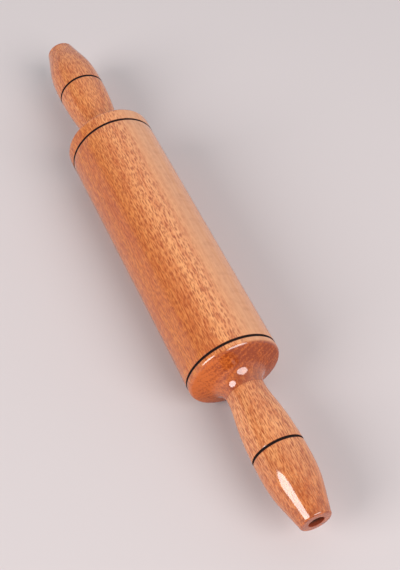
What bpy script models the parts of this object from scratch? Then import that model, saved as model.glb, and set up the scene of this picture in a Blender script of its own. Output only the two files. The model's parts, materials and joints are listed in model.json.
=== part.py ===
"""A wooden rolling pin: a turned barrel that spins on a steel rod between two turned handles.

Lengths are in metres, +Z is up, and the pin lies along X with its barrel resting on the plane z = 0.
"""

import math

import bmesh
import bpy
from mathutils import Vector
from mathutils.geometry import interpolate_bezier

# Barrel, measured from the middle of the pin
barrel_radius = 0.0300
ring_to_middle = 0.0958
right_rim_from_ring = 0.0053
left_rim_from_ring = 0.0116
rim_round = 0.0028
right_cove_radius = 0.0110
left_cove_radius = 0.0060
neck_to_middle = 0.1150
neck_radius = 0.0124

# Burnt rings
ring_width = 0.0017
ring_depth = 0.0006

# Handles, measured outwards from the neck
handle_length = 0.0897
handle_ring_from_neck = 0.0433
belly_from_neck = 0.0500
belly_radius = 0.0165
end_radius = 0.0100
end_round = 0.0014
flare_start_pull = 0.0120
flare_belly_pull = 0.0330
taper_belly_pull = 0.0177
taper_end_pull = 0.0189
taper_end_rise = 0.0043
neck_edge_round = 0.0003

# Steel rod and the bores that it runs through
axle_radius = 0.0040
axle_chamfer = 0.0005
barrel_bore_radius = 0.0055
tap_runout = 0.0040

# Flanged bushes
bush_radius = 0.0065
bush_length = 0.0200
flange_radius = 0.0085
flange_thickness = 0.0015

# Thrust washers
thrust_washer_radius = 0.0080
thrust_washer_thickness = 0.0008

# End screws with their washers
screw_radius = 0.0020
screw_length = 0.0250
screw_chamfer = 0.0004
head_radius = 0.0035
head_height = 0.0040
head_round = 0.0004
socket_across_flats = 0.0030
socket_depth = 0.0020
flat_washer_radius = 0.0045
flat_washer_thickness = 0.0008
spring_washer_radius = 0.0038
spring_washer_thickness = 0.0009
spring_washer_slit = 0.0008
spring_washer_slant = math.radians(20)
counterbore_depth = 0.0110
web_thickness = 0.0080

# Clearances
seat_gap = 0.0003
running_clearance = 0.0001
screw_hole_clearance = 0.0002
cutter_overrun = 0.0010

# How finely round things are cut
barrel_sides = 48
handle_sides = 36
small_sides = 24
socket_sides = 6
round_steps = 4
rim_steps = 5
cove_steps = 6
flare_steps = 9
taper_steps = 8
merge_distance = 0.00001
crease_angle = math.radians(35)

# Places that follow from the sizes
right_rim = ring_to_middle + right_rim_from_ring
left_rim = ring_to_middle + left_rim_from_ring
axis_height = barrel_radius * math.cos(math.pi / barrel_sides)
handle_face = neck_to_middle + seat_gap
handle_end = handle_face + handle_length
flange_face = neck_to_middle - seat_gap
counterbore_floor = handle_end - counterbore_depth
flat_washer_low = counterbore_floor + seat_gap
spring_washer_low = flat_washer_low + flat_washer_thickness + seat_gap
under_head = spring_washer_low + spring_washer_thickness + seat_gap
screw_tip = under_head - screw_length
axle_half_length = counterbore_floor - web_thickness - seat_gap
running_radius = axle_radius + running_clearance

parts_name = "rolling_pin"
cutters_name = "cutters"

# Colour, roughness and metallic value of each material
finishes = {
    "beech": ((0.60, 0.27, 0.11, 1.0), 0.30, 0.0),
    "steel": ((0.56, 0.56, 0.55, 1.0), 0.32, 1.0),
    "dark_steel": ((0.10, 0.10, 0.11, 1.0), 0.42, 1.0),
    "acetal": ((0.80, 0.79, 0.75, 1.0), 0.45, 0.0),
}


def clear_scene():
    for old in list(bpy.data.objects):
        bpy.data.objects.remove(old, do_unlink=True)


def new_collection(name):
    made = bpy.data.collections.new(name)
    bpy.context.scene.collection.children.link(made)
    return made


def new_material(node_name, finish):
    colour, roughness, metallic = finishes[finish]
    material = bpy.data.materials.new(node_name + "_" + finish)
    material.use_nodes = True
    shader = material.node_tree.nodes["Principled BSDF"]
    shader.inputs["Base Color"].default_value = colour
    shader.inputs["Roughness"].default_value = roughness
    shader.inputs["Metallic"].default_value = metallic
    material.diffuse_color = colour
    return material


def arc(centre, radius, start, end, steps):
    """Points (r, z) on a circle, with angles counted from the outward radius towards +z."""
    turns = [start + (end - start) * step / steps for step in range(steps + 1)]
    return [(centre[0] + radius * math.cos(turn), centre[1] + radius * math.sin(turn)) for turn in turns]


def sweep(start, start_pull, end_pull, end, steps):
    """Points (r, z) on one smooth stretch between two ends and the two points that it is pulled towards."""
    knots = [Vector((*point, 0)) for point in (start, start_pull, end_pull, end)]
    return [(point.x, point.y) for point in interpolate_bezier(*knots, steps + 1)]


def burnt_ring(radius, height):
    """Points (r, z) of a V groove in a wall of this radius, from its upper edge to its lower one."""
    half = ring_width / 2
    return [(radius, height + half), (radius - ring_depth, height), (radius, height - half)]


def turned(name, outline, sides, finish, parent, side=1):
    """An outline of (r, z) points, down its outer side, turned round local z, which side -1 points to -X.

    The first corner is half a side round, so that a flat faces down. An outline that starts on the
    axis also ends on it, and any other one is closed.
    """
    first_turn = math.pi / sides
    mesh = bpy.data.meshes.new(name)
    form = bmesh.new()
    corners = [
        form.verts.new((r * math.cos(first_turn), r * math.sin(first_turn), z)) for r, z in outline
    ]
    for corner, following in zip(corners, corners[1:]):
        form.edges.new((corner, following))
    if outline[0][0] > 0:
        form.edges.new((corners[-1], corners[0]))
    form.to_mesh(mesh)
    form.free()
    made = bpy.data.objects.new(name, mesh)
    bpy.data.collections[parts_name].objects.link(made)
    screw = made.modifiers.new("turning", "SCREW")
    screw.axis = "Z"
    screw.angle = math.tau
    screw.steps = sides
    screw.render_steps = sides
    screw.use_merge_vertices = True
    screw.merge_threshold = merge_distance
    made.data.materials.append(new_material(name, finish))
    made.rotation_euler = (0, side * math.pi / 2, 0)
    made.parent = parent
    return made


def make_mesh_real(made):
    """Replaces an object's modifiers by the mesh that they give."""
    graph = bpy.context.evaluated_depsgraph_get()
    evaluated = made.evaluated_get(graph)
    real = bpy.data.meshes.new_from_object(evaluated)
    made.modifiers.clear()
    made.data = real


def shade(made):
    """Smooth round walls with crisp corners."""
    make_mesh_real(made)
    made.data.shade_smooth()
    made.data.set_sharp_from_angle(angle=crease_angle)


def add_axis():
    """The empty on the pin's axis, which carries everything."""
    axis = bpy.data.objects.new("pin_axis", None)
    axis.location = (0, 0, axis_height)
    bpy.data.collections[parts_name].objects.link(axis)
    return axis


def cove_and_rim(rim, cove_radius):
    """Points (r, z) from the neck out to the barrel's wall: a hollow cove, a sloping face, a round rim."""
    rim_centre = Vector((barrel_radius - rim_round, rim - rim_round))
    cove_centre = Vector((neck_radius + cove_radius, neck_to_middle))
    across = cove_centre - rim_centre
    share = min(1.0, (rim_round + cove_radius) / across.length)
    slope = math.atan2(-across.x, across.y) + math.asin(share)
    cove = arc(cove_centre, cove_radius, math.pi, math.pi + slope, cove_steps)
    return cove + arc(rim_centre, rim_round, slope, 0.0, rim_steps)


def barrel_half(rim, cove_radius):
    """Points (r, z) of one half of the barrel, from its bore's middle out to its ring, z upwards."""
    pocket = bush_length + seat_gap
    inside = [
        (barrel_bore_radius, flange_face - flange_thickness - pocket),
        (bush_radius + seat_gap, flange_face - flange_thickness - pocket),
        (bush_radius + seat_gap, flange_face - flange_thickness - seat_gap),
        (flange_radius + seat_gap, flange_face - flange_thickness - seat_gap),
        (flange_radius + seat_gap, neck_to_middle),
    ]
    return inside + cove_and_rim(rim, cove_radius) + burnt_ring(barrel_radius, ring_to_middle)


def add_barrel(axis):
    right = barrel_half(right_rim, right_cove_radius)
    left = [(r, -z) for r, z in reversed(barrel_half(left_rim, left_cove_radius))]
    return turned("barrel", right + left, barrel_sides, "beech", axis)


def handle_radius_points():
    """Points (r, z) of a handle's outside from its neck to its flat end."""
    belly = (belly_radius, handle_face + belly_from_neck)
    neck = (neck_radius, handle_face)
    tip = (end_radius, handle_end - end_round)
    flare = sweep(
        neck,
        (neck_radius, handle_face + flare_start_pull),
        (belly_radius, belly[1] - flare_belly_pull),
        belly,
        flare_steps,
    )
    taper = sweep(
        belly,
        (belly_radius, belly[1] + taper_belly_pull),
        (end_radius + taper_end_rise, handle_end - taper_end_pull),
        tip,
        taper_steps,
    )
    return flare + taper[1:]


def radius_at(outline, height):
    """The outline's radius at this height, along the straight piece that crosses it."""
    for (r0, z0), (r1, z1) in zip(outline, outline[1:]):
        if z0 <= height <= z1:
            return r0 + (r1 - r0) * (height - z0) / (z1 - z0)
    return outline[-1][0]


def handle_outside():
    """The outside with its burnt ring let in and its end rounded, from the neck to the flat end."""
    plain = handle_radius_points()
    ring = handle_face + handle_ring_from_neck
    half = ring_width / 2
    before = [(r, z) for r, z in plain if z < ring - half]
    after = [(r, z) for r, z in plain if z > ring + half]
    groove = [
        (radius_at(plain, ring - half), ring - half),
        (radius_at(plain, ring) - ring_depth, ring),
        (radius_at(plain, ring + half), ring + half),
    ]
    tip = arc((end_radius - end_round, handle_end - end_round), end_round, 0.0, math.pi / 2, round_steps)
    neck = [(before[0][0] - neck_edge_round, before[0][1]), (before[0][0], before[0][1] + neck_edge_round)]
    return neck + before[1:] + groove + after[:-1] + tip


def add_handle(word, side, axis):
    bore = axle_radius + seat_gap
    screw_hole = screw_radius + screw_hole_clearance
    counterbore = flat_washer_radius + seat_gap
    washer_recess = thrust_washer_radius + seat_gap
    recess_floor = handle_face + thrust_washer_thickness
    inside = [
        (counterbore, handle_end),
        (counterbore, counterbore_floor),
        (screw_hole, counterbore_floor),
        (screw_hole, axle_half_length + seat_gap),
        (bore, axle_half_length + seat_gap),
        (bore, recess_floor),
        (washer_recess, recess_floor),
        (washer_recess, handle_face),
    ]
    outline = [(r, z) for r, z in reversed(inside)]
    wall = [(r, z) for r, z in reversed(handle_outside())]
    return turned("handle_" + word, outline + wall, handle_sides, "beech", axis, side)


def add_axle(axis):
    hole = screw_radius + screw_hole_clearance
    top = axle_half_length
    upper = [
        (0.0, screw_tip - tap_runout),
        (hole, screw_tip - tap_runout),
        (hole, top),
        (axle_radius - axle_chamfer, top),
        (axle_radius, top - axle_chamfer),
    ]
    lower = [(r, -z) for r, z in reversed(upper)]
    return turned("axle", upper + lower, small_sides, "steel", axis)


def add_bush(word, side, axis):
    flange_back = flange_face - flange_thickness
    outline = [
        (running_radius, flange_back - bush_length),
        (running_radius, flange_face),
        (flange_radius, flange_face),
        (flange_radius, flange_back),
        (bush_radius, flange_back),
        (bush_radius, flange_back - bush_length),
    ]
    return turned("bush_" + word, outline, small_sides, "acetal", axis, side)


def ring_outline(inner, outer, low, high):
    """A square section (r, z), clockwise."""
    return [(inner, low), (inner, high), (outer, high), (outer, low)]


def add_thrust_washer(word, side, axis):
    low = neck_to_middle
    outline = ring_outline(axle_radius + seat_gap, thrust_washer_radius, low, low + thrust_washer_thickness)
    return turned("thrust_washer_" + word, outline, small_sides, "steel", axis, side)


def add_flat_washer(word, side, axis):
    low = flat_washer_low
    outline = ring_outline(screw_radius + seat_gap, flat_washer_radius, low, low + flat_washer_thickness)
    return turned("flat_washer_" + word, outline, small_sides, "steel", axis, side)


def cut(made, cutter):
    cutter.hide_render = True
    cutter.display_type = "WIRE"
    bpy.data.collections[cutters_name].objects.link(cutter)
    difference = made.modifiers.new("cut", "BOOLEAN")
    difference.operation = "DIFFERENCE"
    difference.object = cutter


def primitive(name, build, *arguments, **settings):
    mesh = bpy.data.meshes.new(name)
    form = bmesh.new()
    build(form, *arguments, **settings)
    form.to_mesh(mesh)
    form.free()
    return bpy.data.objects.new(name, mesh)


def add_spring_washer(word, side, axis):
    low = spring_washer_low
    high = low + spring_washer_thickness
    outline = ring_outline(screw_radius + seat_gap, spring_washer_radius, low, high)
    washer = turned("spring_washer_" + word, outline, small_sides, "steel", axis, side)
    slit = primitive("spring_washer_slit_" + word, bmesh.ops.create_cube, size=1.0)
    reach = spring_washer_radius + cutter_overrun
    slit.scale = (reach, spring_washer_slit, 2 * (spring_washer_thickness + cutter_overrun))
    slit.rotation_euler = (spring_washer_slant, 0, 0)
    slit.location = (reach / 2, 0, (low + high) / 2)
    slit.parent = washer
    cut(washer, slit)
    return washer


def add_handle_screw(word, side, axis):
    top = under_head + head_height
    head_corner = (head_radius - head_round, top - head_round)
    outline = [(0.0, top)]
    outline += arc(head_corner, head_round, math.pi / 2, 0.0, round_steps)
    outline += [
        (head_radius, under_head),
        (screw_radius, under_head),
        (screw_radius, screw_tip + screw_chamfer),
        (screw_radius - screw_chamfer, screw_tip),
        (0.0, screw_tip),
    ]
    screw = turned("handle_screw_" + word, outline, small_sides, "dark_steel", axis, side)
    corner_radius = socket_across_flats / 2 / math.cos(math.pi / socket_sides)
    depth = socket_depth + cutter_overrun
    socket = primitive(
        "socket_cutter_" + word,
        bmesh.ops.create_cone,
        cap_ends=True,
        segments=socket_sides,
        radius1=corner_radius,
        radius2=corner_radius,
        depth=depth,
    )
    socket.location = (0, 0, top - socket_depth + depth / 2)
    socket.parent = screw
    cut(screw, socket)
    return screw


clear_scene()
new_collection(parts_name)
new_collection(cutters_name)
pin_axis = add_axis()
made_parts = [add_barrel(pin_axis), add_axle(pin_axis)]
for word, side in (("left", -1), ("right", 1)):
    for add in (
        add_handle,
        add_bush,
        add_thrust_washer,
        add_flat_washer,
        add_spring_washer,
        add_handle_screw,
    ):
        made_parts.append(add(word, side, pin_axis))
bpy.context.view_layer.update()
for made in made_parts:
    shade(made)
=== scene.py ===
"""A varnished beech rolling pin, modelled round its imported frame. Lengths are in metres."""

import json
import math
from functools import partial

import bpy
from bpy.props import FloatProperty, FloatVectorProperty, IntProperty, PointerProperty
from bpy.types import Operator, Panel, PropertyGroup
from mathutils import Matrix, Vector
from mathutils.geometry import interpolate_bezier


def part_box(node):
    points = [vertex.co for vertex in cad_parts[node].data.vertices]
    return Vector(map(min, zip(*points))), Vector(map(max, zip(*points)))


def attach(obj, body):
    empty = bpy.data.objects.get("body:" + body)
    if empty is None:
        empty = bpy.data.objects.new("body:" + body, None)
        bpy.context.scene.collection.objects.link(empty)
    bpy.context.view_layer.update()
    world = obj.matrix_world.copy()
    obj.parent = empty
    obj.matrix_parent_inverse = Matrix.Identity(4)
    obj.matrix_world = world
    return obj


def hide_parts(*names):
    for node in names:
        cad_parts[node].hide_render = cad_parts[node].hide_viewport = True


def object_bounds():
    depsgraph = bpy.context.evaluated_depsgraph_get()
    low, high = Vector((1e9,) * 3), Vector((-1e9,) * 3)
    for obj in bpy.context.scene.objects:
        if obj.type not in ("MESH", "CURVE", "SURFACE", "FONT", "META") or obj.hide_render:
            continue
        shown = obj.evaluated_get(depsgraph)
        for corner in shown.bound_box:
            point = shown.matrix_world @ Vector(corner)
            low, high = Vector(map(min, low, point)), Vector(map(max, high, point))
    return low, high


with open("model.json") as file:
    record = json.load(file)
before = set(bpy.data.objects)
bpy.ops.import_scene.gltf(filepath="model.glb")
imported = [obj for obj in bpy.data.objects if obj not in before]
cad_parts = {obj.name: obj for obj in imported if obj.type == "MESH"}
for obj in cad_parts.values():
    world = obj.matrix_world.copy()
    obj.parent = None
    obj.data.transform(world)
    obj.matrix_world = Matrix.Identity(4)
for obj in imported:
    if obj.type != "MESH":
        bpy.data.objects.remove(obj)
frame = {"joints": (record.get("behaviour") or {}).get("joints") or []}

bl_info = {
    "name": "Rolling Pin",
    "version": (1, 0, 0),
    "blender": (4, 5, 0),
    "location": "3D View > Sidebar > Rolling Pin",
    "description": "Models a varnished beech rolling pin round its packed frame",
    "category": "Add Mesh",
}

cad_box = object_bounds()
axis_height = frame["joints"][0]["pos_m"][2]
pin_axis = Vector((1, 0, 0))
barrel_body = "barrel"
handles_body = "rod_and_handles"

# Flat sides of the frame's handles, and of its smaller round nodes
handle_node_sides = 36
small_node_sides = 24

# A piece keeps this gap to its seat. At a neck each piece comes closer to the other than in the frame.
seat_gap = 0.0003
closer = 0.0001

# Points nearer to each other than this are one point
merge_distance = 0.000005

# An edge that turns more than this stays sharp
sharp_angle = math.radians(40)


def linear(hex_colour):
    """Turns an sRGB hex colour, such as #C08050, into linear red, green and blue, with full opacity."""
    shares = [int(hex_colour[place : place + 2], 16) / 255 for place in (1, 3, 5)]
    return [*(share / 12.92 if share <= 0.04045 else ((share + 0.055) / 1.055) ** 2.4 for share in shares), 1]


def colour(name, description, hex_colour):
    return FloatVectorProperty(
        name=name, description=description, default=linear(hex_colour), subtype="COLOR", size=4, min=0, max=1
    )


def length(name, description, default):
    return FloatProperty(
        name=name, description=description, default=default, min=0, precision=5, unit="LENGTH"
    )


def spacing(name, description, default):
    """A pattern's spacing along the grain or the pin, and then both ways across."""
    return FloatVectorProperty(
        name=name, description=description, default=default, min=0, precision=5, unit="LENGTH"
    )


def angle(name, description, degrees):
    return FloatProperty(name=name, description=description, default=math.radians(degrees), subtype="ANGLE")


def count(default, description="How many sides stand for the round"):
    return IntProperty(name="Sides", description=description, default=default, min=12)


class BarrelSizes(PropertyGroup):
    """Sizes of the barrel that the frame's box doesn't give."""

    ring: length("Ring to middle", "From the middle to each burnt ring", 0.0958)
    right_rim: length("Right rim", "From the right ring to the end of the round rim", 0.0053)
    left_rim: length("Left rim", "From the left ring to the end of the round rim", 0.0116)
    rim_round: length("Rim round", "Radius of the rounded rims", 0.0028)
    right_cove: length("Right cove", "Radius of the hollow that runs to the right neck", 0.0110)
    left_cove: length("Left cove", "Radius of the hollow that runs to the left neck", 0.0060)
    neck: length("Neck radius", "Radius where the barrel meets a handle", 0.0124)
    bore: length("Bore radius", "Radius of the hole round the rod", 0.0055)
    bush: length("Bush radius", "Radius of the bush in the barrel's end", 0.0065)
    flange: length("Flange thickness", "Thickness of the bush's flange", 0.0015)
    sides: count(160)


class HandleSizes(PropertyGroup):
    """Sizes of the two handles, counted outwards from the neck."""

    ring: length("Ring", "From the neck to the burnt ring", 0.0433)
    belly: length("Belly", "From the neck to the thickest place", 0.0500)
    end: length("End radius", "Radius of the handle's end", 0.0100)
    end_round: length("End round", "Radius of the round edge at the end", 0.0014)
    flare_start: length("Flare start", "How far the neck runs on before it swells", 0.0120)
    flare_belly: length("Flare at the belly", "How far the belly reaches back to the neck", 0.0330)
    taper_belly: length("Taper at the belly", "How far the belly reaches towards the end", 0.0177)
    taper_end: length("Taper at the end", "How far back the end's slope is set out", 0.0189)
    taper_rise: length("Taper rise", "How much thicker the handle is there than at its end", 0.0043)
    screw_hole: length("Screw hole", "Radius of the hole round the screw", 0.0022)
    sides: count(120)


class RingSizes(PropertyGroup):
    """The burnt ring that a hot wire leaves in turned wood."""

    width: length("Width", "Width of the groove", 0.0017)
    depth: length("Depth", "Depth of the groove", 0.0006)
    scorch: length("Scorch", "Width of the browned wood beside the groove", 0.0004)


class ScrewSizes(PropertyGroup):
    """The socket-head screws in the handles' ends."""

    shank: length("Shank radius", "Radius over the thread", 0.0020)
    pitch: length("Pitch", "From one turn of the thread to the next", 0.0007)
    thread_depth: length("Thread depth", "From the thread's crest to its root", 0.0004)
    tip_chamfer: length("Tip chamfer", "Chamfer at the screw's tip", 0.0004)
    head_round: length("Head round", "Radius of the head's round edge", 0.0004)
    flute: length("Knurl depth", "Depth of the flutes round the head", 0.00012)
    socket: length("Socket", "Across the flats of the hexagon socket", 0.0030)
    socket_depth: length("Socket depth", "Depth of the hexagon socket", 0.0020)
    sides: count(72, "Twice the number of flutes round the head")


class FittingSizes(PropertyGroup):
    """Rod, bushes and washers."""

    rod_chamfer: length("Rod chamfer", "Chamfer at the rod's ends", 0.0005)
    tapped: length("Tapped hole", "Radius of the holes in the rod's ends", 0.0022)
    tap_runout: length("Tap runout", "How far a tapped hole goes on past the screw", 0.0040)
    running: length("Running clearance", "Between the rod and its bushes", 0.0001)
    edge: length("Edge", "Small bevel on a turned or stamped edge", 0.00015)
    oil_groove: length("Oil groove", "Depth of the grease groove in a bush", 0.0004)
    relief: length("Relief", "Undercut beside a bush's flange", 0.0002)
    slit: length("Slit", "Width of the cut through a spring washer", 0.0008)
    slant: angle("Slant", "Slant of that cut", 20)
    sides: count(72)


class FittingLook(PropertyGroup):
    """Colours and marks of the metal and plastic pieces."""

    drawn: colour("Drawn steel", "Bright drawn bar", "#B9B6B1")
    drawn_lines: colour("Draw lines", "Oil and dust left in the draw lines", "#8B8780")
    zinc: colour("Zinc", "Bright zinc plate, a little blue", "#BFC4CA")
    zinc_bloom: colour("Zinc bloom", "Duller spots in the plate", "#9FA19C")
    blackened: colour("Blackened steel", "Black oxide", "#242224")
    oxide_bloom: colour("Oxide bloom", "Where the oxide is thin and brownish", "#463C36")
    acetal: colour("Acetal", "Natural white acetal", "#EAE7DD")
    acetal_shade: colour("Acetal shade", "The same in the tool's marks", "#D6D1C2")
    draw_spacing: spacing("Draw line spacing", "Of the lines along drawn bar", (0.0400, 0.0003, 0.0003))
    draw_relief: length("Draw line relief", "Depth of one line", 0.000008)
    plate_spacing: spacing("Plate spacing", "Of the spots in the plate", (0.0010, 0.0010, 0.0010))
    plate_relief: length("Plate relief", "How far one spot stands out", 0.000012)
    oxide_spacing: spacing("Oxide spacing", "Of the places where it is thin", (0.0006, 0.0006, 0.0006))
    oxide_relief: length("Oxide relief", "Depth of one such place", 0.00001)
    wear: length("Wear", "Spacing of the larger patches of wear on steel", 0.0022)
    tool_spacing: spacing("Tool mark spacing", "Of the tool's rings in plastic", (0.0004, 0.0110, 0.0110))
    tool_relief: length("Tool mark relief", "Depth of one ring", 0.000015)


class BeechLook(PropertyGroup):
    """Colours and grain of the stained and varnished beech."""

    pale: colour("Pale wood", "Early wood of a growth ring", "#F3A366")
    mid: colour("Mid wood", "Late wood of a growth ring", "#CF6C32")
    # A redder tint. The barrel has it as painted shade, deepest towards -Y; the handles have it evenly, the
    # left one more.
    heart: colour("Heart side", "Tint of the side that grew nearer the heart", "#E2C07C")
    # Paler where rays are cut lengthwise: ray figure, with painted sheen on the upper side towards +Y.
    silver_grain_and_sheen: colour("Silver grain", "The smooth sides where the rays are cut lengthwise", "#DA986C")
    fleck: colour("Fleck", "Ends of the rays, short dark dashes along the grain", "#943808")
    end_grain: colour("End grain", "Where the stain soaks into cut fibres", "#C45E20")
    deep_end_grain: colour("Deep end grain", "The pores that take most stain", "#8A3008")
    char: colour("Char", "Burnt wood in the rings", "#130A08")
    # Painted shade: the walls of the holes are coloured dark.
    drilled_and_painted_shade: colour("Drilled", "Bare wood inside the holes", "#4E2A1C")
    streak_spacing: spacing("Streak spacing", "Of the soft, deeper streaks", (0.0833, 0.0167, 0.0167))
    fleck_spacing: spacing("Fleck spacing", "Of the flecks, which are flat", (0.0070, 0.0011, 1))
    fibre_spacing: spacing("Fibre spacing", "Of the bundles of fibres", (0.0077, 0.00087, 0.00087))
    fibre_relief: length("Fibre relief", "How far fibres stand up under the varnish", 0.00004)
    film_relief: length("Film relief", "How far fibres show through the varnish", 0.00001)
    pore: length("Pore", "Spacing of the pores where fibres are cut across", 0.0011)
    blotch: length("Blotch", "Spacing of the patches that take more stain", 0.0091)
    taper_stain: length("Taper stain", "How far inside its ring a handle grows darker", 0.0120)
    neck_stain: length("Neck stain", "How far a handle's neck takes more stain", 0.0130)
    # Past the stain at its mouth, a hole is painted shade.
    mouth_stain: length("Mouth stain", "How far stain runs into a hole in full", 0.0016)
    mouth_fade: length("Mouth fade", "Where in the hole the stain ends", 0.0034)
    # Painted light and shade on the barrel: from here towards -Y its wall is painted deeper and its cut faces
    # lighter.
    painted_side_light_start: length("Heart start", "From the barrel's middle, where redder wood begins", 0.0020)
    painted_side_light_width: length("Heart width", "From there to where it is as red as it gets", 0.0290)
    crumb: length("Crumb", "Spacing of the crumbs of char", 0.0004)
    crumb_relief: length("Crumb relief", "How far one crumb stands out", 0.00006)
    score_spacing: spacing("Score spacing", "Of the scores round a hole", (0.0005, 0.0167, 0.0167))
    score_relief: length("Score relief", "Depth of one score", 0.00008)
    year: length("Growth ring", "Thickness of one year's wood", 0.0034)
    pith: length("Pith", "How far away the middle of the tree was", 0.0700)
    slope: angle("Slope", "How far the grain runs askew of the pin", math.degrees(0.015))


class StageLook(PropertyGroup):
    """Floor, light and camera."""

    floor: colour("Floor", "Colour of the matt paper floor", "#CFC0BE")
    room: colour("Room", "Dim, cool light from the room all round", "#6C8E98")
    wall: colour("Wall", "Light from the pale wall beyond the pin's far side", "#DCDCDF")
    floor_radius: length("Floor radius", "Radius of the round floor", 4.0)
    paper_fibre: length("Paper fibre", "Spacing of the fibres in the paper", 0.0010)
    lamp_distance: length("Lamp distance", "From the pin's middle to each softbox", 3.0)
    azimuth: angle("Azimuth", "Camera's turn round the pin", 65.84)
    elevation: angle("Elevation", "Camera's height as an angle", 54.12)
    distance: length("Distance", "From the camera to what it looks at", 0.7055)
    aim: FloatVectorProperty(
        name="Aim",
        description="What the camera looks at, from the middle of the pin",
        default=(0.0324, 0.0073, 0.0002),
        unit="LENGTH",
        precision=5,
    )
    lens: FloatProperty(
        name="Lens",
        description="Focal length in millimetres on a 36 mm frame",
        default=70.36,
        min=1,
        unit="CAMERA",
    )


# Outlines, as lists of (x, radius) points


def corner_radius(across_flats, sides):
    """From the middle of a regular shape with flat sides to its corners."""
    return across_flats / 2 / math.cos(math.pi / sides)


def round_radius(node, sides=small_node_sides):
    """The radius that a frame node's flat sides, one of which faces down, stand for."""
    low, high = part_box(node)
    return corner_radius(high.z - low.z, sides)


def arc(centre, radius, start, end, steps):
    """Points on a circle, with angles counted from straight outwards towards +X."""
    turns = [start + (end - start) * step / steps for step in range(steps + 1)]
    return [(centre[0] + radius * math.sin(turn), centre[1] + radius * math.cos(turn)) for turn in turns]


def sweep(start, start_pull, end_pull, end, steps):
    """Points on one smooth stretch between two ends and the two points that it is pulled towards."""
    knots = [Vector((*point, 0)) for point in (start, start_pull, end_pull, end)]
    return [(point.x, point.y) for point in interpolate_bezier(*knots, steps + 1)]


def straight(start, end, steps):
    """Points along a straight wall, without its two ends."""
    (x0, r0), (x1, r1) = start, end
    return [(x0 + (x1 - x0) * step / steps, r0 + (r1 - r0) * step / steps) for step in range(1, steps)]


def mirrored(outline):
    """The same outline at the other end of the pin, drawn in the same direction."""
    return [(-x, r) for x, r in reversed(outline)]


def radius_at(outline, place):
    """The outline's radius at this x, along the straight piece that crosses it."""
    for (x0, r0), (x1, r1) in zip(outline, outline[1:]):
        if x0 <= place <= x1:
            return r0 + (r1 - r0) * (place - x0) / (x1 - x0)
    raise ValueError("the outline doesn't reach the groove")


def with_groove(outline, middle, ring, steps=12):
    """The outline with a rounded groove let into it. Its points rise in x there."""
    half = ring.width / 2
    places = [middle + half * (2 * step / steps - 1) for step in range(steps + 1)]
    groove = [
        (x, radius_at(outline, x) - ring.depth * math.cos(math.pi * (x - middle) / ring.width) ** 2)
        for x in places
    ]
    before = [point for point in outline if point[0] < places[0]]
    after = [point for point in outline if point[0] > places[-1]]
    return before + groove + after


def rim_and_cove(sizes, rim, cove, radius, end, steps=14):
    """From the barrel's wall over its round rim and down the hollow to its neck at the right end."""
    rim_round = sizes.rim_round
    rim_centre = Vector((sizes.ring + rim - rim_round, radius - rim_round))
    cove_centre = Vector((end, sizes.neck + cove))
    across = cove_centre - rim_centre
    slope = math.atan2(-across.y, across.x) + math.asin(min(1, (rim_round + cove) / across.length))
    over = arc(rim_centre, rim_round, 0, slope, steps)
    down = arc(cove_centre, -cove, slope, 0, steps)
    return over + straight(over[-1], down[0], steps=4) + down


def barrel_outline(sizes, ring):
    """The outside from neck to neck, then back through the bore and the seats of the bushes."""
    low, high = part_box("barrel")
    radius = (high.z - low.z) / 2
    right = rim_and_cove(sizes, sizes.right_rim, sizes.right_cove, radius, high.x + closer)
    left = mirrored(rim_and_cove(sizes, sizes.left_rim, sizes.left_cove, radius, closer - low.x))
    outside = left + straight(left[-1], right[0], steps=24) + right
    outside = with_groove(outside, -sizes.ring, ring)
    outside = with_groove(outside, sizes.ring, ring)
    inner_end, flange_face = (corner.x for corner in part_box("bush_right"))
    flange_back = flange_face - sizes.flange - seat_gap
    flange_seat = round_radius("bush_right") + seat_gap
    bush_seat = sizes.bush + seat_gap
    bore = [
        (high.x + closer, flange_seat),
        (flange_back, flange_seat),
        (flange_back, bush_seat),
        (inner_end - seat_gap, bush_seat),
        (inner_end - seat_gap, sizes.bore),
    ]
    return outside + bore + mirrored(bore)


def handle_outline(sizes, neck, ring):
    """The right handle: its outside from the neck to the flat end, then back through the counterbore."""
    low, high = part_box("handle_right")
    belly_radius = round_radius("handle_right", handle_node_sides)
    belly = (low.x + sizes.belly, belly_radius)
    flare = sweep(
        (low.x - closer, neck),
        (low.x + sizes.flare_start, neck),
        (belly[0] - sizes.flare_belly, belly_radius),
        belly,
        steps=40,
    )
    taper = sweep(
        belly,
        (belly[0] + sizes.taper_belly, belly_radius),
        (high.x - sizes.taper_end, sizes.end + sizes.taper_rise),
        (high.x - sizes.end_round, sizes.end),
        steps=30,
    )
    outside = with_groove(flare + taper[1:], low.x + sizes.ring, ring)
    end_centre = (high.x - sizes.end_round, sizes.end - sizes.end_round)
    tip = arc(end_centre, sizes.end_round, 0, math.pi / 2, steps=8)[1:]
    counterbore = round_radius("flat_washer_right") + seat_gap
    chamfer = seat_gap
    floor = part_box("flat_washer_right")[0].x - seat_gap
    bore = round_radius("axle") + seat_gap
    bore_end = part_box("axle")[1].x + seat_gap
    recess = round_radius("thrust_washer_right") + seat_gap
    recess_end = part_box("thrust_washer_right")[1].x + seat_gap
    inside = [
        (high.x, counterbore + chamfer),
        (high.x - chamfer, counterbore),
        (floor, counterbore),
        (floor, sizes.screw_hole),
        (bore_end, sizes.screw_hole),
        (bore_end, bore),
        (recess_end, bore),
        (recess_end, recess),
        (low.x - closer, recess),
    ]
    return outside + tip + inside


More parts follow.
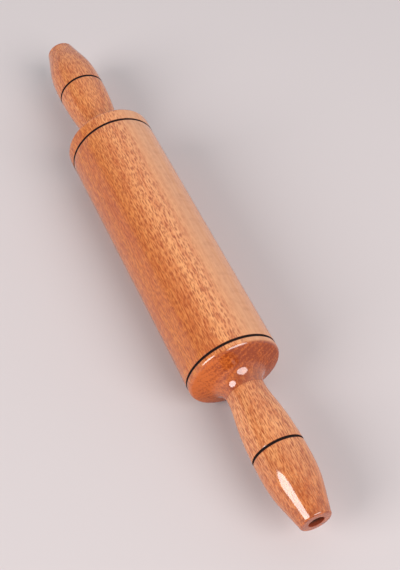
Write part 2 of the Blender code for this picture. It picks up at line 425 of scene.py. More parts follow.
def rod_outline(sizes):
    """The rod's outside, with the cone that the drill leaves at the bottom of each tapped hole."""
    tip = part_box("handle_screw_right")[0].x
    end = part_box("axle")[1].x
    radius = round_radius("axle")
    drilled_to = tip - sizes.tap_runout
    cone = sizes.tapped / 2
    right = [
        (end - sizes.rod_chamfer, radius),
        (end, radius - sizes.rod_chamfer),
        (end, sizes.tapped + sizes.edge),
        (end - sizes.edge, sizes.tapped),
        (drilled_to + cone, sizes.tapped),
        (drilled_to, 0),
    ]
    return mirrored(right) + right


def bush_outline(barrel, sizes):
    """The right bush: a sleeve with a flange, a relief beside it and a grease groove in its bore."""
    low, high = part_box("bush_right")
    flange = round_radius("bush_right")
    back = high.x - barrel.flange
    bore = round_radius("axle") + sizes.running
    edge = sizes.edge
    groove = sizes.oil_groove
    middle = (low.x + back) / 2
    return [
        (low.x, barrel.bush - groove),
        (low.x + groove, barrel.bush),
        (back - groove, barrel.bush),
        (back - groove, barrel.bush - sizes.relief),
        (back, barrel.bush - sizes.relief),
        (back, flange - edge),
        (back + edge, flange),
        (high.x - edge, flange),
        (high.x, flange - edge),
        (high.x, bore + groove),
        (high.x - groove, bore),
        (middle + groove * 2, bore),
        (middle + groove, bore + groove),
        (middle - groove, bore + groove),
        (middle - groove * 2, bore),
        (low.x + groove, bore),
        (low.x, bore + groove),
    ]


def washer_outline(node, bore, edge):
    """A stamped ring with its edges rounded over by tumbling."""
    low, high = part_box(node)
    outer = round_radius(node)
    return [
        (low.x, outer - edge),
        (low.x + edge, outer),
        (high.x - edge, outer),
        (high.x, outer - edge),
        (high.x, bore + edge),
        (high.x - edge, bore),
        (low.x + edge, bore),
        (low.x, bore + edge),
    ]


def flute_ends(sizes):
    """Where along the right screw's head its flutes begin and end."""
    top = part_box("handle_screw_right")[1].x
    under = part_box("spring_washer_right")[1].x + seat_gap
    return top - sizes.head_round * 1.5, under + sizes.head_round * 1.5


def screw_outline(sizes):
    """The right screw, from the middle of its head's top to its tip. The thread is drawn as rings."""
    tip, top = (corner.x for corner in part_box("handle_screw_right"))
    head = round_radius("handle_screw_right")
    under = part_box("spring_washer_right")[1].x + seat_gap
    head_round = sizes.head_round
    dish = head_round / 2
    socket = corner_radius(sizes.socket, 6)
    crown = arc((top - head_round, head - head_round), head_round, math.pi / 2, 0, steps=6)
    fluted = [(end, head) for end in flute_ends(sizes)]
    foot = [(under + head_round, head), (under, head - head_round), (under, sizes.shank)]
    # Rings of thread, with a turn or two left plain under the head. A root takes a fifth of its pitch.
    rings = int((under - tip) / sizes.pitch) - 2
    start = tip + sizes.tip_chamfer + (rings + 0.5) * sizes.pitch
    root = sizes.shank - sizes.thread_depth
    thread = []
    for number in range(rings):
        crest = start - number * sizes.pitch
        thread += [(crest, sizes.shank), (crest - sizes.pitch * 0.4, root), (crest - sizes.pitch * 0.6, root)]
    end = [(tip + sizes.tip_chamfer, sizes.shank), (tip, sizes.shank - sizes.tip_chamfer), (tip, 0)]
    middle = [(top - dish, 0), (top - dish, socket - dish / 2), (top, socket + dish)]
    return middle + crown + fluted + foot + thread + end


# Modelling


def close_up():
    """In edit mode, merges the mesh's doubled points and turns its faces outwards, then leaves that mode."""
    bpy.ops.mesh.select_all(action="SELECT")
    bpy.ops.mesh.remove_doubles(threshold=merge_distance)
    bpy.ops.mesh.normals_make_consistent(inside=False)
    bpy.ops.object.mode_set(mode="OBJECT")


def turn(outline, sides):
    """Draws an outline from one vertex and spins it round the pin's axis, as a lathe does."""
    select_only()
    x, r = outline[0]
    bpy.ops.mesh.primitive_plane_add(size=axis_height, location=(x, 0, axis_height + r))
    bpy.ops.object.mode_set(mode="EDIT")
    bpy.ops.mesh.select_all(action="SELECT")
    bpy.ops.mesh.merge(type="CENTER")
    # A solid piece's outline starts and ends on the axis, and any other comes back to its start
    following = outline[1:] if r == 0 else outline[1:] + outline[:1]
    for x1, r1 in following:
        bpy.ops.mesh.extrude_vertices_move(TRANSFORM_OT_translate={"value": (x1 - x, 0, r1 - r)})
        x, r = x1, r1
    bpy.ops.mesh.select_all(action="SELECT")
    bpy.ops.mesh.remove_doubles(threshold=merge_distance)
    bpy.ops.mesh.spin(steps=sides, angle=math.tau, center=(0, 0, axis_height), axis=pin_axis)
    close_up()
    bpy.ops.object.transform_apply(location=True, rotation=True, scale=True)
    bpy.ops.object.shade_smooth_by_angle(angle=sharp_angle)
    return bpy.context.object


def from_axis(place):
    """How far a place is from the pin's axis."""
    return math.hypot(place.y, place.z - axis_height)


def select_only(piece=None):
    """Selects this piece, or nothing at all."""
    bpy.ops.object.select_all(action="DESELECT")
    if piece:
        piece.select_set(True)
        bpy.context.view_layer.objects.active = piece


def other_end(piece):
    """A copy with its own mesh, turned half round to stand at the pin's left end."""
    select_only(piece)
    bpy.ops.object.duplicate()
    bpy.ops.transform.rotate(value=math.pi, orient_axis="Y", center_override=(0, 0, axis_height))
    bpy.ops.object.transform_apply(location=True, rotation=True, scale=True)
    return bpy.context.object


def cut_away(piece, cutter):
    """Takes the cutter's shape out of a piece, then deletes the cutter."""
    select_only(piece)
    bpy.ops.object.modifier_add(type="BOOLEAN")
    cut = piece.modifiers[-1]
    cut.operation = "DIFFERENCE"
    cut.object = cutter
    bpy.ops.object.modifier_apply(modifier=cut.name)
    bpy.ops.object.mode_set(mode="EDIT")
    close_up()
    select_only(cutter)
    bpy.ops.object.delete()


def flute(piece, rows, radius, sides, depth):
    """Draws every other column of these rows of points in towards the axis, as a knurled side."""
    select_only(piece)
    bpy.ops.object.mode_set(mode="EDIT")
    bpy.ops.mesh.select_mode(type="VERT")
    bpy.ops.mesh.select_all(action="DESELECT")
    bpy.ops.object.mode_set(mode="OBJECT")
    for point in piece.data.vertices:
        column = round(math.atan2(point.co.y, point.co.z - axis_height) / math.tau * sides)
        on_row = any(abs(point.co.x - row) < merge_distance for row in rows)
        on_side = abs(from_axis(point.co) - radius) < merge_distance
        point.select = on_row and on_side and column % 2 == 1
    bpy.ops.object.mode_set(mode="EDIT")
    inwards = 1 - depth / radius
    bpy.ops.transform.resize(value=(1, inwards, inwards), center_override=(0, 0, axis_height))
    bpy.ops.object.mode_set(mode="OBJECT")


# Materials

# Settings for a Map Range node with soft ends, and for a Mix node of two colours. That one takes its
# share at input 0 and its colours at inputs 6 and 7.
soft_ends = {"interpolation_type": "SMOOTHSTEP"}
of_colours = {"data_type": "RGBA"}


def plug_in(node, inputs):
    """Links an input to a node's first output or to a socket, or sets it to any other value."""
    for key, value in inputs.items():
        if isinstance(value, bpy.types.Node):
            value = next(socket for socket in value.outputs if socket.enabled)
        if isinstance(value, bpy.types.NodeSocket):
            node.id_data.links.new(value, node.inputs[key])
        else:
            node.inputs[key].default_value = value


def add_node(tree, kind, inputs, **settings):
    """Adds one shader node with its settings, and links or sets its inputs."""
    made = tree.nodes.new("ShaderNode" + kind)
    for setting, value in settings.items():
        setattr(made, setting, value)
    plug_in(made, inputs)
    return made


def new_material(name, constants):
    """A node material, its shader with these constants, its own add_node, and its piece's coordinates."""
    material = bpy.data.materials.new(name)
    material.use_nodes = True
    shader = material.node_tree.nodes["Principled BSDF"]
    plug_in(shader, constants)
    add = partial(add_node, material.node_tree)
    return material, shader, add, add("TexCoord", {}).outputs["Object"]


def finish_surface(shader, add, colour, rough, roughness, raised, height, strength):
    """Gives a shader its colour, a roughness that follows one pattern and a relief that follows another."""
    least, most = roughness
    roughness = add("MapRange", {"Value": rough, "To Min": least, "To Max": most})
    relief = add("Bump", {"Height": raised, "Distance": height, "Strength": strength})
    plug_in(shader, {"Base Color": colour, "Roughness": roughness, "Normal": relief})


def per_metre(spacings):
    """How many fit in a metre, for each spacing. A texture takes its scale so."""
    return [1 / each for each in spacings]


def from_middle(add, place):
    """How far along the pin a place is from its middle."""
    return add("Math", {0: add("SeparateXYZ", {"Vector": place})}, operation="ABSOLUTE")


def sound_beech(add, look, grain, facing_pith, across_rays, silver_grain_and_sheen):
    """The colour of uncut wood, and the fibres and growth rings that it shows."""
    # Soft streaks of deeper colour, about 40 mm long and 8 mm wide
    streak_place = add("Mapping", {"Vector": grain, "Scale": per_metre(look.streak_spacing)})
    streak = add("TexNoise", {"Vector": streak_place, "Scale": 1, "Detail": 2})
    # Bundles of fibres, 0.9 mm from one to the next, coarser than real ones, so that they show
    fibre_place = add("Mapping", {"Vector": grain, "Scale": per_metre(look.fibre_spacing)})
    fibre = add("TexNoise", {"Vector": fibre_place, "Scale": 1, "Detail": 3, "Roughness": 0.6})
    # Growth rings round a pith that lies outside the piece, drawn out along it. A wave texture of
    # scale 1 turns 20 radians in a metre.
    rings_place = {"Vector": grain, "Location": (0, 0, look.pith), "Scale": (0.12, 1, 1)}
    rings = {"Vector": add("Mapping", rings_place), "Scale": math.tau / 20 / look.year}
    wander = {"Distortion": 6, "Detail": 2, "Detail Scale": 0.3}
    year = add("TexWave", {**rings, **wander}, wave_type="RINGS", rings_direction="X").outputs["Fac"]
    streak = add("Math", {0: streak, 1: 0.22}, operation="MULTIPLY")
    tone = add("Math", {0: year, 1: 0.1, 2: streak}, operation="MULTIPLY_ADD")
    tone = add("Math", {0: fibre, 1: 0.65, 2: tone}, operation="MULTIPLY_ADD")
    tone = add("MapRange", {"Value": tone, "From Min": 0.30, "From Max": 0.70}, **soft_ends)
    wood = add("Mix", {0: tone, 6: look.pale, 7: look.mid}, **of_colours)
    # The smooth sides, where the rays are cut lengthwise, made paler: ray figure, and painted sheen on the
    # upper side towards +Y
    lengthwise = {"Value": facing_pith, "From Min": 0.74, "From Max": 0.12, "To Max": silver_grain_and_sheen}
    wood = add("Mix", {0: add("MapRange", lengthwise, **soft_ends), 6: wood, 7: look.silver_grain_and_sheen}, **of_colours)
    # The darkest fibres, between the rays
    vessel = add("MapRange", {"Value": fibre, "From Min": 0.5, "From Max": 0.7, "To Max": 0.3}, **soft_ends)
    vessel = add("Math", {0: vessel, 1: across_rays}, operation="MULTIPLY")
    wood = add("Mix", {0: vessel, 6: wood, 7: look.fleck}, **of_colours)
    return wood, fibre, year


def cut_on_barrel(add, place, cut, cove_top):
    """How much a place of the barrel is cut across its fibres. The coves are, from their tops down."""
    centred = {"Vector": place, "Location": (0, 0, -axis_height), "Scale": (0, 1, 1)}
    radius = add("VectorMath", {0: add("Mapping", centred)}, operation="LENGTH")
    cove = {"Value": radius, "From Min": cove_top, "From Max": cove_top * 0.9, "To Max": 0.85}
    return add("Math", {0: cut, 1: add("MapRange", cove, **soft_ends)}, operation="MAXIMUM")


def cut_on_handle(add, look, along, cut, ring_place, end_stain):
    """The same for a handle. Its taper is cut more and more towards the end, and its neck a little."""
    start = ring_place - look.taper_stain
    taper = {"Value": along, "From Min": start, "From Max": cad_box[1].x, "To Max": end_stain}
    cut = add("Math", {0: cut, 1: add("MapRange", taper)}, operation="MAXIMUM")
    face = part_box("handle_right")[0].x
    neck = {"Value": along, "From Min": face + look.neck_stain, "From Max": face, "To Max": 0.33}
    return add("Math", {0: cut, 1: add("MapRange", neck, **soft_ends)}, operation="MAXIMUM")


def soaked_beech(add, look, place, year, painted_side_light):
    """The colour of cut fibres, whose pores, drawn 0.5 mm across to show, hold more or less of the stain."""
    pore = add("TexNoise", {"Vector": place, "Scale": 1 / look.pore, "Detail": 2})
    blotch = add("TexNoise", {"Vector": place, "Scale": 1 / look.blotch, "Detail": 2})
    soak = add("Math", {0: blotch, 1: 0.6, 2: pore}, operation="MULTIPLY_ADD")
    soak = add("Math", {0: year, 1: 0.14, 2: soak}, operation="MULTIPLY_ADD")
    if painted_side_light is None:
        soak = add("MapRange", {"Value": soak, "From Min": 0.7, "From Max": 1.0})
    else:
        # The barrel drinks more than the handles do. Towards -Y its cut faces take less, as painted light on
        # that side.
        soak = add("Math", {0: painted_side_light, 1: -0.34, 2: soak}, operation="MULTIPLY_ADD")
        soak = add("MapRange", {"Value": soak, "From Min": 0.55, "From Max": 0.95})
    return add("Mix", {0: soak, 6: look.end_grain, 7: look.deep_end_grain}, **of_colours)


def with_ray_flecks(add, look, wood, grain, shown):
    """The wood's colour with its ray ends, large ones and small ones.

    They are about 0.5 mm wide and 3 mm long, a little coarser than real ones, so that they show.
    Each ray runs straight towards the pith, so its pattern is a flat one.
    """
    for size, strength in ((1.0, 0.65), (0.7, 0.6)):
        closeness = Vector(per_metre(look.fleck_spacing)) / size
        cells = {"Vector": grain, "Scale": closeness, "Location": (size, 0, 0)}
        cells = {"Vector": add("Mapping", cells), "Scale": 1, "Randomness": 0.9}
        cells = add("TexVoronoi", cells, voronoi_dimensions="2D")
        fleck = {"Value": cells.outputs["Distance"], "From Min": 0.35, "From Max": 0.17, "To Max": strength}
        uneven = add("SeparateColor", {"Color": cells.outputs["Color"]})
        uneven = add("MapRange", {"Value": uneven, "From Max": 0.5, "To Min": 0.3})
        fleck = add("Math", {0: add("MapRange", fleck, **soft_ends), 1: uneven}, operation="MULTIPLY")
        fleck = add("Math", {0: fleck, 1: shown}, operation="MULTIPLY")
        wood = add("Mix", {0: fleck, 6: wood, 7: look.fleck}, **of_colours)
    return wood


def varnished_beech(name, look, ring, ring_place, grain_turn, shift, silver_grain_and_sheen, heart, cove_top=0, end_stain=0):
    """Steamed beech, turned, stained a warm brown and sprayed with two coats of clear varnish.

    Up close beech shows thousands of short dark dashes, the ends of its rays, all along the grain.
    On the two sides of a turned piece where the rays are cut lengthwise they show as wide, pale,
    smooth patches instead; the upper one, towards +Y, is painted sheen as well. Cut fibres soak up the stain,
    so the coves and ends are a deep red-brown.

    Each piece has its own turn and shift of the grain, and its own shares of smooth patches and of a
    redder tint, which on the barrel is painted shade towards -Y. A barrel also has the radius of its coves'
    tops, and a handle its end's share of stain.
    """
    # A plain varnish has an IOR of 1.5. This one is matched to strong reflections.
    varnish = {"Specular IOR Level": 0.0, "Coat Weight": 1.0, "Coat Roughness": 0.09, "Coat IOR": 1.8}
    material, shader, add, place = new_material(name, {"IOR": 1.5, **varnish})
    normal = place.node.outputs["Normal"]
    grain = add("Mapping", {"Vector": place, "Location": shift, "Rotation": (grain_turn, 0, look.slope)})
    along = from_middle(add, place)
    facing_end = add("Math", {0: add("SeparateXYZ", {"Vector": normal})}, operation="ABSOLUTE")
    towards_pith = (0, math.sin(grain_turn), math.cos(grain_turn))
    facing_pith = add("VectorMath", {0: normal, 1: towards_pith}, operation="DOT_PRODUCT")
    facing_pith = add("Math", {0: facing_pith}, operation="ABSOLUTE")
    # The rays show their ends where the surface runs across them
    across_rays = {"Value": facing_pith, "From Min": 0.3, "From Max": 0.6, "To Min": 0.15}
    across_rays = add("MapRange", across_rays, **soft_ends)
    wood, fibre, year = sound_beech(add, look, grain, facing_pith, across_rays, silver_grain_and_sheen)
    # Deeply stained wood, where fibres are cut: on the rims, in the coves and on the flat ends
    cut = {"Value": facing_end, "From Min": 0.08, "From Max": 0.75, "To Max": 0.95}
    cut = add("MapRange", cut, **soft_ends)
    # A redder tint: on the barrel it is painted shade, growing towards its -Y side; on the handles it is
    # even, more on the left one.
    painted_side_light = None
    if cove_top:
        cut = cut_on_barrel(add, place, cut, cove_top)
        # The share of painted side light: none just past the middle, full towards -Y.
        across = add("SeparateXYZ", {"Vector": place}).outputs["Y"]
        painted_side_light_full = look.painted_side_light_start - look.painted_side_light_width
        painted_side_light = {"Value": across, "From Min": look.painted_side_light_start, "From Max": painted_side_light_full, "To Max": heart}
        painted_side_light = add("MapRange", painted_side_light, **soft_ends)
        # The barrel's flat ends drink most of their varnish and stay duller
        film_left = {"Value": facing_end, "From Min": 0.7, "From Max": 0.97, "To Min": 1.0, "To Max": 0.4}
        plug_in(shader, {"Coat Weight": add("MapRange", film_left, **soft_ends)})
    else:
        cut = cut_on_handle(add, look, along, cut, ring_place, end_stain)
    redder = {0: heart if painted_side_light is None else painted_side_light, 6: wood, 7: look.heart}
    wood = add("Mix", redder, blend_type="MULTIPLY", **of_colours)
    soaked = soaked_beech(add, look, place, year, painted_side_light)
    wood = add("Mix", {0: cut, 6: wood, 7: soaked}, **of_colours)
    on_side = add("MapRange", {"Value": facing_end, "From Min": 0.6, "From Max": 0.25}, **soft_ends)
    shown = add("Math", {0: across_rays, 1: on_side}, operation="MULTIPLY")
    wood = with_ray_flecks(add, look, wood, grain, shown)
    # Wood browned by the hot wire, beside the burnt ring
    away = add("Math", {0: along, 1: ring_place}, operation="SUBTRACT")
    away = add("Math", {0: away}, operation="ABSOLUTE")
    half = ring.width / 2
    scorch = {"Value": away, "From Min": half + ring.scorch, "From Max": half, "To Max": 0.7}
    wood = add("Mix", {0: add("MapRange", scorch, **soft_ends), 6: wood, 7: look.fleck}, **of_colours)
    # Fibres stand up a few hundredths of a millimetre under the varnish, and a little through it
    finish_surface(shader, add, wood, fibre, (0.36, 0.5), fibre, look.fibre_relief, 0.6)
    film = add("Bump", {"Height": fibre, "Distance": look.film_relief, "Strength": 0.35})
    plug_in(shader, {"Coat Normal": film})
    return material


def charred_beech(look):
    """Beech burnt black by a hot wire: dead matt, with a trace of brown where the fibre shows."""
    material, shader, add, place = new_material("charred_beech", {"Specular IOR Level": 0.2})
    # Crumbs of char, 0.4 mm from one to the next
    crumb = add("TexNoise", {"Vector": place, "Scale": 1 / look.crumb, "Detail": 2})
    brown = add("MapRange", {"Value": crumb, "From Min": 0.55, "From Max": 0.8, "To Max": 0.3})
    char = add("Mix", {0: brown, 6: look.char, 7: look.fleck}, **of_colours)
    finish_surface(shader, add, char, crumb, (0.75, 0.95), crumb, look.crumb_relief, 0.8)
    return material


def drilled_beech_in_painted_shade(look):
    """The inside of a hole: bare wood coloured dark as painted shade, and scored round by the bit's lip."""
    material, shader, add, place = new_material("drilled_beech_in_painted_shade", {"IOR": 1.5})
    # Scores 0.5 mm apart, left by the bit as it goes in
    score_place = add("Mapping", {"Vector": place, "Scale": per_metre(look.score_spacing)})
    score = add("TexNoise", {"Vector": score_place, "Scale": 1, "Detail": 2})
    # Dark brown wall with char-black scores: painted shade in the hole.
    bare = add("Mix", {0: score, 6: look.drilled_and_painted_shade, 7: look.char}, **of_colours)
    # Varnish and stain run a few millimetres into the mouth of the hole. Deeper in, the painted shade is
    # full.
    along = from_middle(add, place)
    end = cad_box[1].x
    mouth = {"Value": along, "From Min": end - look.mouth_fade, "From Max": end - look.mouth_stain}
    bare = add("Mix", {0: add("MapRange", mouth), 6: bare, 7: look.deep_end_grain}, **of_colours)
    finish_surface(shader, add, bare, score, (0.6, 0.85), score, look.score_relief, 0.7)
    return material


def steel(name, look, tones, roughness, spacings, relief):
    """A steel finish: two tones and a roughness that follow one noise, stretched by the way it was made."""
    material, shader, add, place = new_material(name, {"Metallic": 1.0})
    marks_place = add("Mapping", {"Vector": place, "Scale": per_metre(spacings)})
    marks = add("TexNoise", {"Vector": marks_place, "Scale": 1, "Detail": 3})
    spots = add("TexNoise", {"Vector": place, "Scale": 1 / look.wear, "Detail": 2})
    wear = add("Math", {0: marks, 1: spots}, operation="MULTIPLY")
    wear = add("MapRange", {"Value": wear, "From Min": 0.15, "From Max": 0.4})
    tone = add("Mix", {0: wear, 6: tones[0], 7: tones[1]}, **of_colours)
    finish_surface(shader, add, tone, wear, roughness, marks, relief, 0.5)
    return material


def bright_drawn_steel(look):
    """Bar pulled through a die: fine straight lines along it, drawn 0.3 mm apart, under a trace of oil."""
    tones = (look.drawn, look.drawn_lines)
    return steel("bright_drawn_steel", look, tones, (0.24, 0.42), look.draw_spacing, look.draw_relief)


def zinc_plated_steel(look):
    """Stamped, tumbled and barrel plated: bright and bluish, with soft duller spots about 1 mm across."""
    tones = (look.zinc, look.zinc_bloom)
    return steel("zinc_plated_steel", look, tones, (0.3, 0.5), look.plate_spacing, look.plate_relief)


def blackened_steel(look):
    """Black oxide on forged steel, wiped with oil: nearly black, satin, browner where it is thin."""
    tones = (look.blackened, look.oxide_bloom)
    return steel("blackened_steel", look, tones, (0.32, 0.55), look.oxide_spacing, look.oxide_relief)


def turned_acetal(look):
    """Natural acetal, turned: waxy white with the tool's fine rings, drawn 0.4 mm apart."""
    # Light spreads a millimetre or two inside it, red the furthest
    inner_light = {"Subsurface Radius": (0.002, 0.0018, 0.0014), "Subsurface Scale": 1.0}
    constants = {"IOR": 1.48, "Subsurface Weight": 0.1, **inner_light}
    material, shader, add, place = new_material("turned_acetal", constants)
    rings_place = add("Mapping", {"Vector": place, "Scale": per_metre(look.tool_spacing)})
    rings = add("TexNoise", {"Vector": rings_place, "Scale": 1, "Detail": 2})
    tone = add("Mix", {0: rings, 6: look.acetal, 7: look.acetal_shade}, **of_colours)
    finish_surface(shader, add, tone, rings, (0.34, 0.5), rings, look.tool_relief, 0.5)
    return material


def matt_paper(look):
    """Matt seamless paper: even and without gloss, a shade warmer than grey."""
    material, shader, add, place = new_material("matt_paper", {"Roughness": 0.9})
    # Paper fibre, 1 mm from one to the next
    fibre = add("TexNoise", {"Vector": place, "Scale": 1 / look.paper_fibre, "Detail": 2})
    darker = [share * 0.985 for share in look.floor]
    paper = add("Mix", {0: fibre, 6: look.floor, 7: darker}, **of_colours)
    plug_in(shader, {"Base Color": paper})
    return material


# Finishing


def finish_wood(piece, wood, look, ring, ring_place, hole):
    """Gives a turned piece varnished wood, char in its ring's groove and painted shade in its holes."""
    for material in (wood, charred_beech(look), drilled_beech_in_painted_shade(look)):
        piece.data.materials.append(material)
    # The third slot darkens the holes as painted shade.
    charred, drilled_and_painted_shade = 1, 2
    for face in piece.data.polygons:
        if from_axis(face.center) < hole:
            face.material_index = drilled_and_painted_shade
        elif abs(abs(face.center.x) - ring_place) < ring.width / 2:
            face.material_index = charred


def settle(piece, name, body, material_slot, *nodes):
    """Names a finished piece, hangs it on the empty of the body it rides on, and hides the frame nodes it
    stands for.
    """
    piece.name = name
    piece.data.name = name
    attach(piece, body)
    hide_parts(*nodes)


def settle_pair(right, name, body, material_slot, node):
    """Copies a finished right piece to the left end and settles both. The side ends their names."""
    left = other_end(right)
    for piece, side in ((right, "right"), (left, "left")):
        settle(piece, name + side, body, material_slot, node + side)


# Stage


def lay_floor(look):
    select_only()
    bpy.ops.mesh.primitive_circle_add(vertices=96, radius=look.floor_radius, fill_type="NGON")
    floor = bpy.context.object
    floor.name = "floor"
    floor.data.materials.append(matt_paper(look))


def add_softbox(name, target, distance, towards, width, height, power):
    """An oval softbox that looks at the pin, with its width level."""
    lamp = bpy.data.lights.new(name, "AREA")
    lamp.shape = "ELLIPSE"
    lamp.size = width
    lamp.size_y = height
    lamp.energy = power
    made = bpy.data.objects.new(name, lamp)
    towards = Vector(towards).normalized()
    made.location = target + towards * distance
    made.rotation_euler = towards.to_track_quat("Z", "Y").to_euler()
    bpy.context.scene.collection.objects.link(made)


def studio_world(look):
    """A dim, cool room all round, with a pale wall on one side and a pale band along the horizon."""
    world = bpy.data.worlds.new("studio")
    world.use_nodes = True
    add = partial(add_node, world.node_tree)
    direction = add("TexCoord", {}).outputs["Generated"]
    towards_wall = Vector((-0.6, 0.75, 0.25)).normalized()
    wall = add("VectorMath", {0: direction, 1: towards_wall}, operation="DOT_PRODUCT")
    wall = add("MapRange", {"Value": wall, "From Min": 0.0, "From Max": 0.9}, **soft_ends)
    height = add("SeparateXYZ", {"Vector": direction}).outputs["Z"]
    horizon = {"Value": height, "From Min": 0.4, "From Max": 0.05, "To Max": 0.9}
    bright = add("Math", {0: wall, 1: add("MapRange", horizon, **soft_ends)}, operation="MAXIMUM")
    light = add("Mix", {0: bright, 6: look.room, 7: look.wall}, **of_colours)
    plug_in(world.node_tree.nodes["Background"], {"Color": light, "Strength": 1.0})
    return world


def place_camera(look, middle):
    camera = bpy.data.objects.new("camera", bpy.data.cameras.new("camera"))
    bpy.context.scene.collection.objects.link(camera)
    camera.data.lens = look.lens
    level = math.cos(look.elevation)
    back = Vector((math.sin(look.azimuth) * level, -math.cos(look.azimuth) * level, math.sin(look.elevation)))
    camera.location = middle + Vector(look.aim) + back * look.distance
    camera.rotation_euler = back.to_track_quat("Z", "Y").to_euler()
    return camera


# Operators


class AddBarrel(Operator):
    """Turns the barrel with its burnt rings, rims and coves"""

    bl_idname = "rolling_pin.add_barrel"
    bl_label = "Barrel"

    def execute(self, context):
        sizes = context.scene.pin_barrel
        ring = context.scene.pin_ring
        look = context.scene.pin_beech
        barrel = turn(barrel_outline(sizes, ring), sizes.sides)
        wood = varnished_beech(
            "varnished_beech_barrel",
            look,
            ring,
            sizes.ring,
            grain_turn=math.radians(-52),
            shift=(0.013, 0.004, 0.002),
            silver_grain_and_sheen=0.72,
            heart=1,
            cove_top=axis_height - sizes.rim_round,
        )
        finish_wood(barrel, wood, look, ring, sizes.ring, round_radius("bush_right") + 2 * seat_gap)
        settle(barrel, "turned_barrel", barrel_body, "beech", "barrel")
        return {"FINISHED"}


class AddHandles(Operator):
    """Turns the two handles"""

    bl_idname = "rolling_pin.add_handles"
    bl_label = "Handles"

    def execute(self, context):
        sizes = context.scene.pin_handles
        ring = context.scene.pin_ring
        look = context.scene.pin_beech
        ring_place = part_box("handle_right")[0].x + sizes.ring
        counterbore = round_radius("flat_washer_right") + seat_gap
        right = turn(handle_outline(sizes, context.scene.pin_barrel.neck, ring), sizes.sides)
        left = other_end(right)
        for handle, side, grain_turn, shift, heart, end_stain in (
            (right, "right", math.radians(-20), (0.002, 0.021, 0.003), 0.07, 0.7),
            (left, "left", math.radians(-10), (0.031, 0.007, 0.018), 0.5, 0.3),
        ):
            wood = varnished_beech(
                "varnished_beech_handle_" + side,
                look,
                ring,
                ring_place,
                grain_turn,
                shift,
                silver_grain_and_sheen=0.15,
                heart=heart,
                end_stain=end_stain,
            )
            finish_wood(handle, wood, look, ring, ring_place, counterbore + seat_gap / 2)
            settle(handle, "turned_handle_" + side, handles_body, "beech", "handle_" + side)
        return {"FINISHED"}


class AddRod(Operator):
    """Turns the steel rod that holds the handles together"""

    bl_idname = "rolling_pin.add_rod"
    bl_label = "Rod"

    def execute(self, context):
        sizes = context.scene.pin_fittings
        rod = turn(rod_outline(sizes), sizes.sides)
        rod.data.materials.append(bright_drawn_steel(context.scene.pin_fitting_look))
        settle(rod, "drawn_rod", handles_body, "steel", "axle")
        return {"FINISHED"}


class AddBushes(Operator):
    """Turns the two flanged bushes in the barrel's ends"""

    bl_idname = "rolling_pin.add_bushes"
    bl_label = "Bushes"

    def execute(self, context):
        sizes = context.scene.pin_fittings
        bush = turn(bush_outline(context.scene.pin_barrel, sizes), sizes.sides)
        bush.data.materials.append(turned_acetal(context.scene.pin_fitting_look))
        settle_pair(bush, "flanged_bush_", barrel_body, "acetal", "bush_")
        return {"FINISHED"}


class AddWashers(Operator):
    """Stamps the thrust washers, flat washers and spring washers"""

    bl_idname = "rolling_pin.add_washers"
    bl_label = "Washers"

    def execute(self, context):
        sizes = context.scene.pin_fittings
        zinc = zinc_plated_steel(context.scene.pin_fitting_look)
        rod_bore = round_radius("axle") + seat_gap
        screw_bore = context.scene.pin_screws.shank + seat_gap
        for name, node, bore in (
            ("plated_thrust_washer_", "thrust_washer_", rod_bore),
            ("plated_flat_washer_", "flat_washer_", screw_bore),
            ("split_spring_washer_", "spring_washer_", screw_bore),
        ):
            washer = turn(washer_outline(node + "right", bore, sizes.edge), sizes.sides)
            washer.data.materials.append(zinc)
            if node == "spring_washer_":
                low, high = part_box("spring_washer_right")
                reach = high.z - low.z
                select_only()
                bpy.ops.mesh.primitive_cube_add(
                    size=1,
                    location=((low.x + high.x) / 2, 0, axis_height - reach / 2),
                    rotation=(0, 0, -sizes.slant),
                    scale=(reach, sizes.slit, reach),
                )
                cut_away(washer, bpy.context.object)
            settle_pair(washer, name, handles_body, "steel", node)
        return {"FINISHED"}


class AddScrews(Operator):
    """Forms the two socket-head screws"""

    bl_idname = "rolling_pin.add_screws"
    bl_label = "Screws"

    def execute(self, context):
        sizes = context.scene.pin_screws
        screw = turn(screw_outline(sizes), sizes.sides)
        flute(screw, flute_ends(sizes), round_radius("handle_screw_right"), sizes.sides, sizes.flute)
        select_only()
        bpy.ops.mesh.primitive_cylinder_add(
            vertices=6,
            radius=corner_radius(sizes.socket, 6),
            depth=2 * sizes.socket_depth,
            location=(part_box("handle_screw_right")[1].x, 0, axis_height),
            rotation=(0, math.pi / 2, 0),
        )
        cut_away(screw, bpy.context.object)
        screw.data.materials.append(blackened_steel(context.scene.pin_fitting_look))
        settle_pair(screw, "socket_head_screw_", handles_body, "dark_steel", "handle_screw_")
        return {"FINISHED"}


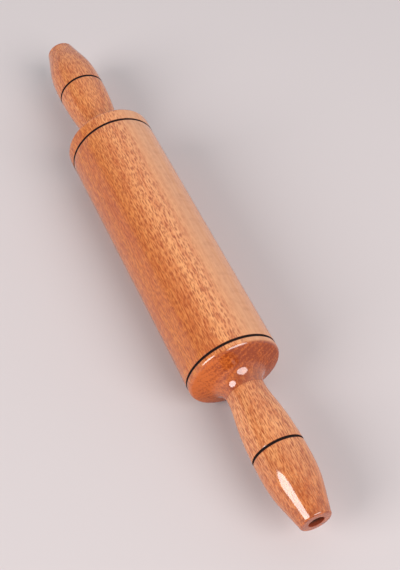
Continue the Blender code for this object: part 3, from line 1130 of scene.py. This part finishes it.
class AddStage(Operator):
    """Lays the floor and sets the lamps, the world and the camera"""

    bl_idname = "rolling_pin.add_stage"
    bl_label = "Stage"

    def execute(self, context):
        scene = context.scene
        look = scene.pin_stage
        middle = Vector((0, 0, axis_height))
        lay_floor(look)
        right = {"towards": (0.69, 0.27, 0.67), "width": 2.2, "height": 2.2, "power": 66}
        left = {"towards": (0.10, -0.82, 0.57), "width": 1.85, "height": 1.95, "power": 62}
        add_softbox("right_softbox", middle, look.lamp_distance, **right)
        add_softbox("left_softbox", middle, look.lamp_distance, **left)
        scene.world = studio_world(look)
        scene.camera = place_camera(look, middle)
        scene.view_settings.view_transform = "Standard"
        return {"FINISHED"}


class RollingPinPanel(Panel):
    """Lists the pin's pieces"""

    bl_idname = "ROLLING_PIN_PT_pieces"
    bl_label = "Rolling Pin"
    bl_space_type = "VIEW_3D"
    bl_region_type = "UI"
    bl_category = "Rolling Pin"

    def draw(self, context):
        for operator in operators:
            self.layout.operator(operator.bl_idname)
        for group in groups:
            box = self.layout.box()
            settings = getattr(context.scene, group)
            for key in settings.bl_rna.properties.keys():
                if key not in ("rna_type", "name"):
                    box.prop(settings, key)


groups = {
    "pin_barrel": BarrelSizes,
    "pin_handles": HandleSizes,
    "pin_ring": RingSizes,
    "pin_screws": ScrewSizes,
    "pin_fittings": FittingSizes,
    "pin_beech": BeechLook,
    "pin_fitting_look": FittingLook,
    "pin_stage": StageLook,
}
operators = (AddBarrel, AddHandles, AddRod, AddBushes, AddWashers, AddScrews, AddStage)
classes = (*groups.values(), *operators, RollingPinPanel)


def register():
    for made in classes:
        bpy.utils.register_class(made)
    for name, group in groups.items():
        setattr(bpy.types.Scene, name, PointerProperty(type=group))


def unregister():
    for name in groups:
        delattr(bpy.types.Scene, name)
    for made in reversed(classes):
        bpy.utils.unregister_class(made)


def main():
    register()
    bpy.ops.rolling_pin.add_barrel()
    bpy.ops.rolling_pin.add_handles()
    bpy.ops.rolling_pin.add_rod()
    bpy.ops.rolling_pin.add_bushes()
    bpy.ops.rolling_pin.add_washers()
    bpy.ops.rolling_pin.add_screws()
    bpy.ops.rolling_pin.add_stage()


if __name__ == "__main__":
    main()
